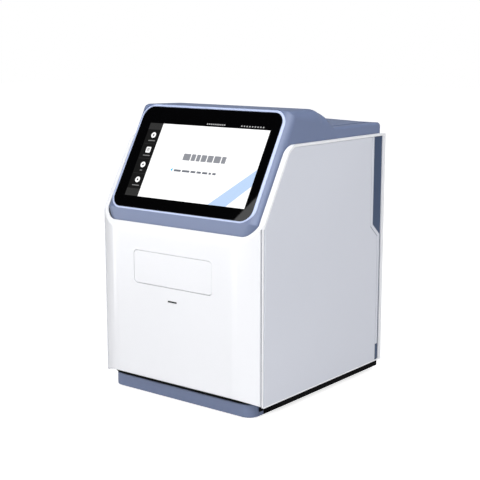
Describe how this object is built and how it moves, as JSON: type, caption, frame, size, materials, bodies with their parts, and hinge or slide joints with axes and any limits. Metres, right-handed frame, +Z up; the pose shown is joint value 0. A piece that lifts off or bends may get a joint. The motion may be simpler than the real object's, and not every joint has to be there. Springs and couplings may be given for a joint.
{
  "type": "benchtop chemistry analyzer",
  "caption": "Compact bench analyzer with sloped touch display, front reagent disc drawer, rear printer lid and side trim strips.",
  "frame": {"origin": "on the bench surface, under the middle of the body", "axes": "+Z up, the front with the display and the drawer faces -Y, +X to the right as seen from the front"},
  "size_m": [0.206, 0.227, 0.2907],
  "materials": {
    "white_moulding": "smooth moulded, semi gloss white",
    "side_cover": "fine satin pale grey",
    "slate_trim": "satin dark slate",
    "blue_grey_moulding": "satin blue grey",
    "display_glass": "polished, printed black behind",
    "black_plastic": "matt black",
    "rubber": "matt black rubber",
    "steel": "zinc plated",
    "aluminium": "plain aluminium",
    "circuit_board": "solder mask green",
    "grey_moulding": "satin grey moulding",
    "paper": "thermal paper"
  },
  "bodies": {
    "main_body": {"front_shell": "white_moulding", "rear_frame": "white_moulding", "side_panel_left": "side_cover", "side_panel_right": "side_cover", "edge_rib_left": "side_cover", "edge_rib_right": "side_cover", "side_stripe_left": "slate_trim", "side_stripe_right": "slate_trim", "hood": "blue_grey_moulding", "plinth": "blue_grey_moulding", "rear_panel": "blue_grey_moulding", "display_glass": "display_glass", "display_module": "steel", "status_window": "black_plastic", "base_pan": "black_plastic", "foot_1": "rubber", "foot_2": "rubber", "foot_3": "rubber", "foot_4": "rubber", "chassis": "steel", "frame_side_left": "steel", "frame_side_right": "steel", "drawer_rail_left": "steel", "drawer_rail_right": "steel", "top_plate": "steel", "heater_plate": "aluminium", "optics_block": "black_plastic", "lamp_housing": "aluminium", "main_board": "circuit_board", "power_supply": "aluminium", "drawer_motor": "steel", "fan_frame": "black_plastic", "mains_inlet": "black_plastic", "switch_frame": "black_plastic", "port_block": "steel", "printer_well": "grey_moulding", "print_head": "aluminium", "tear_bar": "steel", "lid_hinge_pin_left": "steel", "lid_hinge_pin_right": "steel"},
    "drawer": {"drawer_front": "white_moulding", "drawer_tray": "grey_moulding", "spindle_motor": "steel"},
    "spindle": {"disc_hub": "grey_moulding"},
    "pinion": {"drawer_pinion": "grey_moulding"},
    "lid": {"printer_lid": "blue_grey_moulding"},
    "platen": {"platen_roller": "rubber"},
    "paper": {"paper_roll": "paper"},
    "fan": {"fan_rotor": "black_plastic"},
    "rocker": {"power_rocker": "black_plastic"}
  },
  "joints": [
    {"name": "drawer_slide", "type": "slide", "parent": "main_body", "child": "drawer", "axis": [0, -1, 0], "range_m": [0, 0.092]},
    {"name": "pinion_spin", "type": "hinge", "parent": "main_body", "child": "pinion", "pos_m": [-0.045, -0.085, 0.1148], "axis": [1, 0, 0], "range_deg": [-1, 825]},
    {"name": "spindle_spin", "type": "hinge", "parent": "drawer", "child": "spindle", "pos_m": [0, -0.06, 0.1296], "axis": [0, 0, 1], "continuous": true},
    {"name": "printer_lid_hinge", "type": "hinge", "parent": "main_body", "child": "lid", "pos_m": [0, 0.1013, 0.2682], "axis": [-1, 0, 0], "range_deg": [0, 90]},
    {"name": "platen_spin", "type": "hinge", "parent": "lid", "child": "platen", "pos_m": [0, 0.036, 0.262], "axis": [1, 0, 0], "continuous": true},
    {"name": "paper_roll_spin", "type": "hinge", "parent": "main_body", "child": "paper", "pos_m": [0, 0.07065, 0.2385], "axis": [1, 0, 0], "continuous": true},
    {"name": "fan_spin", "type": "hinge", "parent": "main_body", "child": "fan", "pos_m": [-0.046, 0.1, 0.15], "axis": [0, 1, 0], "continuous": true},
    {"name": "power_rocker_hinge", "type": "hinge", "parent": "main_body", "child": "rocker", "pos_m": [0.026, 0.1093, 0.068], "axis": [-1, 0, 0], "range_deg": [0, 14]}
  ],
  "couplings": [
    {"joint": "pinion_spin", "follows": "drawer_slide", "rad_per_m": 156.25}
  ]
}
